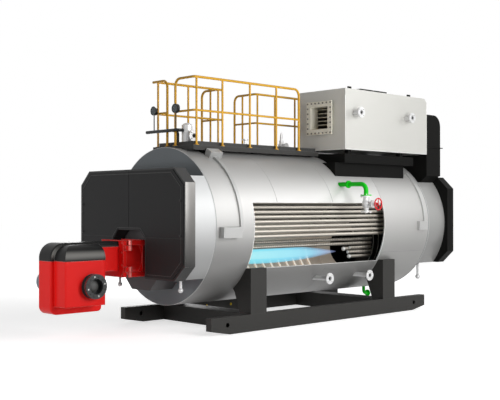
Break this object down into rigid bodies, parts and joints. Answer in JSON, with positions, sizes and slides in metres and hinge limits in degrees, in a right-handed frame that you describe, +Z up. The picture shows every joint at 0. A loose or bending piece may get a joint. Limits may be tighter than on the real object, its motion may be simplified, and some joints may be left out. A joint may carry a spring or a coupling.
{
  "type": "industrial boiler",
  "caption": "Horizontal fire-tube steam boiler on a skid, cut away to show its tubes, with a swing-out burner, top platform with railings and a flue-gas condenser",
  "frame": {"origin": "on the ground under the shell's axis, at the middle of the front cross beam's underside", "axes": "+Z up, the burner and smokebox doors face -Y, the cut-away window faces +X"},
  "size_m": [3.647, 8.123, 3.96],
  "materials": {
    "clad_silver": "satin cladding sheet, silver grey",
    "end_paint": "dark blue-grey paint",
    "cover_black": "near-black satin paint",
    "skid_grey": "dark grey paint",
    "platform_grey": "dark grey paint, ribbed tread",
    "rail_yellow": "safety yellow paint",
    "condenser_steel": "brushed stainless sheet",
    "duct_black": "matt black paint",
    "burner_red": "bright red paint",
    "burner_black": "satin black moulded cover",
    "motor_grey": "blue-grey paint",
    "tube_steel": "pale beige",
    "furnace_steel": "beige-brown scaled steel",
    "chamber_black": "dark plate",
    "pipe_green": "bright green paint",
    "valve_silver": "cast, silver paint",
    "wheel_red": "red enamel",
    "gauge_white": "white dial in a steel case",
    "box_silver": "sheet metal box and trunking"
  },
  "bodies": {
    "boiler": {"shell_course_1": "clad_silver", "shell_course_2": "clad_silver", "shell_course_3": "clad_silver", "shell_course_4": "clad_silver", "front_end_plate": "end_paint", "rear_end_plate": "end_paint", "front_smokebox": "end_paint", "rear_smokebox": "end_paint", "front_cover": "cover_black", "front_doors": "cover_black", "rear_cover": "cover_black", "rear_doors": "cover_black", "throat_box": "burner_red", "burner_throat": "burner_red", "skid_beams": "skid_grey", "cross_beams": "skid_grey", "saddles": "skid_grey", "platform_frame": "platform_grey", "platform_deck": "platform_grey", "side_landing": "platform_grey", "access_ladder": "platform_grey", "rail_near": "rail_yellow", "rails_across": "rail_yellow", "rail_far": "rail_yellow", "rail_landing": "rail_yellow", "steam_outlet": "valve_silver", "gauge_header": "valve_silver", "pressure_gauges": "gauge_white", "safety_valve": "valve_silver", "vent_valve": "valve_silver", "condenser_casing": "condenser_steel", "flue_outlet": "condenser_steel", "condenser_fins": "tube_steel", "condenser_nozzles": "condenser_steel", "condenser_hatches": "condenser_steel", "condenser_support": "skid_grey", "flue_duct": "duct_black", "feed_pipe": "pipe_green", "feed_valve": "valve_silver", "lower_nozzles": "valve_silver", "blowdown_pipe": "pipe_green", "smokebox_drains": "valve_silver", "wireways": "box_silver", "smoke_tubes": "tube_steel", "spiral_tubes": "tube_steel", "stay_bars": "tube_steel", "furnace_tube": "furnace_steel", "reversal_chamber": "chamber_black"},
    "burner": {"burner_flange": "burner_red", "burner_housing": "burner_red", "volute_housing": "burner_red", "burner_cover": "burner_black", "air_inlet": "burner_red", "fan_motor": "motor_grey"},
    "handwheel": {"feed_handwheel": "wheel_red"}
  },
  "joints": [
    {"name": "burner_swing", "type": "hinge", "parent": "boiler", "child": "burner", "pos_m": [0.304, -1.806, 1.135], "axis": [0, 0, 1], "range_deg": [0, 80]},
    {"name": "handwheel_turn", "type": "hinge", "parent": "boiler", "child": "handwheel", "pos_m": [1.832, 2.064, 1.936], "axis": [1, 0, 0], "continuous": true}
  ]
}
